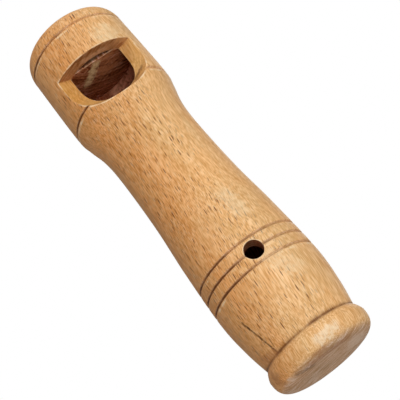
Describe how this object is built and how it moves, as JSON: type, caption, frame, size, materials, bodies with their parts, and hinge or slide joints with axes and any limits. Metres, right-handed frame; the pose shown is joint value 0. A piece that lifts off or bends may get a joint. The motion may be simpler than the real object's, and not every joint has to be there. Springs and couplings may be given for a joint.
{
  "type": "owl call",
  "caption": "Turned wooden whistle that imitates an owl: blind-bored body with a window, a tone hole and a closing knob, and a glued block that forms the windway.",
  "frame": {"origin": "centre of the knob's flat end, where the call stands upright", "axes": "+Z along the turning axis from the knob to the mouth end; the window and the tone hole face -Y"},
  "size_m": [0.03, 0.03, 0.1138],
  "materials": {
    "oiled_beech": "satin oiled beech, turned",
    "bare_beech": "bare end grain, sawn"
  },
  "bodies": {
    "root": {"turned_body": "oiled_beech", "fipple_block": "bare_beech"}
  },
  "joints": []
}
